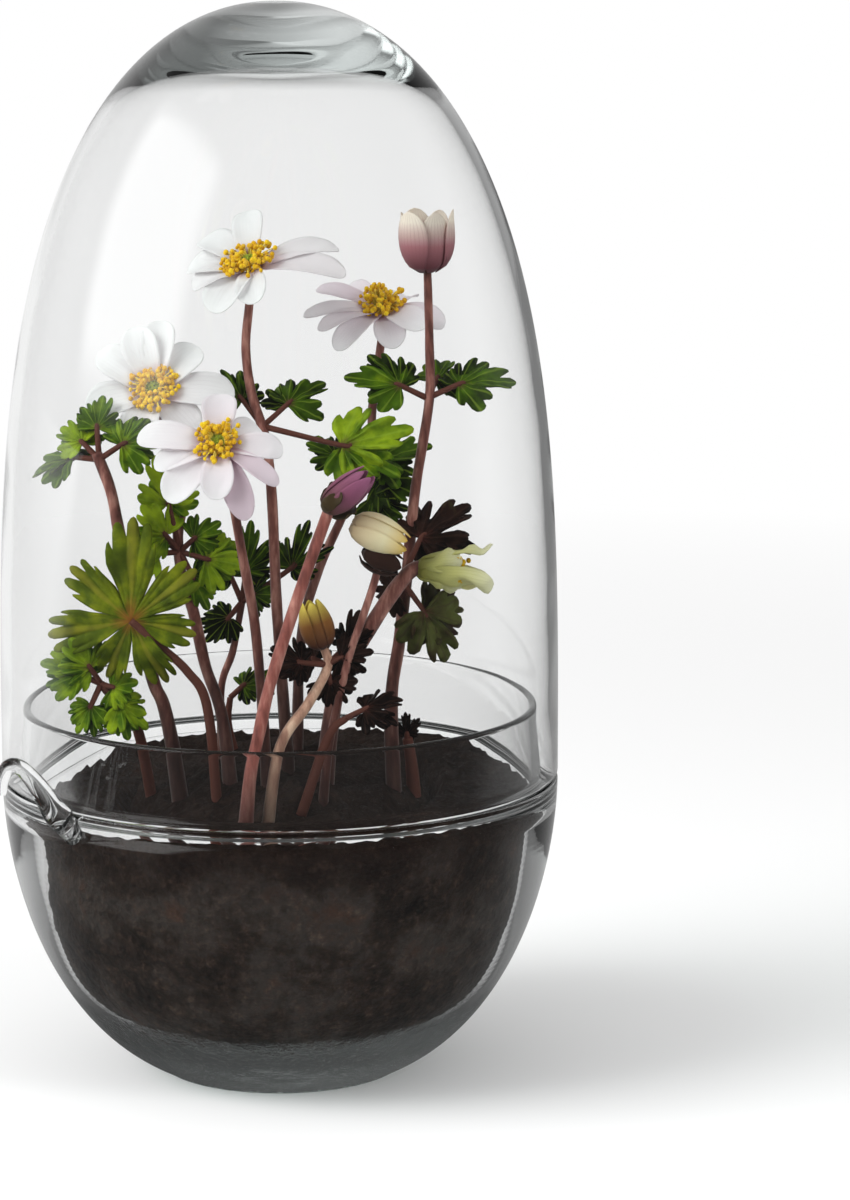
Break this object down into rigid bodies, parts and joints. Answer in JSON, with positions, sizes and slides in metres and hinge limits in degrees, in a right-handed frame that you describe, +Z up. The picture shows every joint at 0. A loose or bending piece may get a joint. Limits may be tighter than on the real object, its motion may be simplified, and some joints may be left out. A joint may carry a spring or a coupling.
{
  "type": "mini greenhouse pot",
  "caption": "Clear blown-glass egg in two halves: a planted bowl with an upright collar and a lift-off dome, with a curled glass hook at the seam.",
  "frame": {"origin": "centre of the flat foot of the bowl, on the surface it stands on", "axes": "+Z up along the egg's axis, -Y towards the front of the picture, +X to its right; the hook is at the left front"},
  "size_m": [0.14, 0.14, 0.2685],
  "materials": {
    "clear_glass": "polished",
    "potting_soil": "matte",
    "plant_stem": "satin",
    "green_leaf": "satin",
    "brown_young_leaf": "matte",
    "white_tepal": "satin",
    "golden_stamen": "matte",
    "flower_bud": "satin"
  },
  "bodies": {
    "pot": {"glass_bowl": "clear_glass", "glass_hook": "clear_glass", "potting_soil": "potting_soil", "root_ball": "potting_soil", "stalk_white_top": "plant_stem", "stalk_white_right": "plant_stem", "stalk_white_left": "plant_stem", "stalk_white_front": "plant_stem", "stalk_tulip_bud": "plant_stem", "stalk_purple_bud": "plant_stem", "stalk_yellow_bud": "plant_stem", "stalk_opening_bud": "plant_stem", "stalk_cream_bud": "plant_stem", "stalk_leafy_left": "plant_stem", "stalk_young": "plant_stem", "tepals_top": "white_tepal", "stamens_top": "golden_stamen", "tepals_right": "white_tepal", "stamens_right": "golden_stamen", "tepals_left": "white_tepal", "stamens_left": "golden_stamen", "tepals_front": "white_tepal", "stamens_front": "golden_stamen", "whorl_tulip": "green_leaf", "whorl_top": "green_leaf", "whorl_right": "green_leaf", "whorl_left": "green_leaf", "whorl_leafy_left": "green_leaf", "whorl_young": "green_leaf", "whorl_opening": "brown_young_leaf", "whorl_yellow": "brown_young_leaf", "bud_tulip": "flower_bud", "bud_purple": "flower_bud", "bud_cream": "flower_bud", "bud_opening": "flower_bud", "bud_yellow": "flower_bud", "leaf_palmate": "green_leaf", "leaf_low_left": "green_leaf", "leaf_low_centre": "brown_young_leaf", "leaf_back": "green_leaf", "shoot_tip": "brown_young_leaf"},
    "dome": {"glass_dome": "clear_glass"}
  },
  "joints": [
    {"name": "dome_lift", "type": "slide", "parent": "pot", "child": "dome", "axis": [0, 0, 1], "range_m": [0, 0.16]}
  ]
}
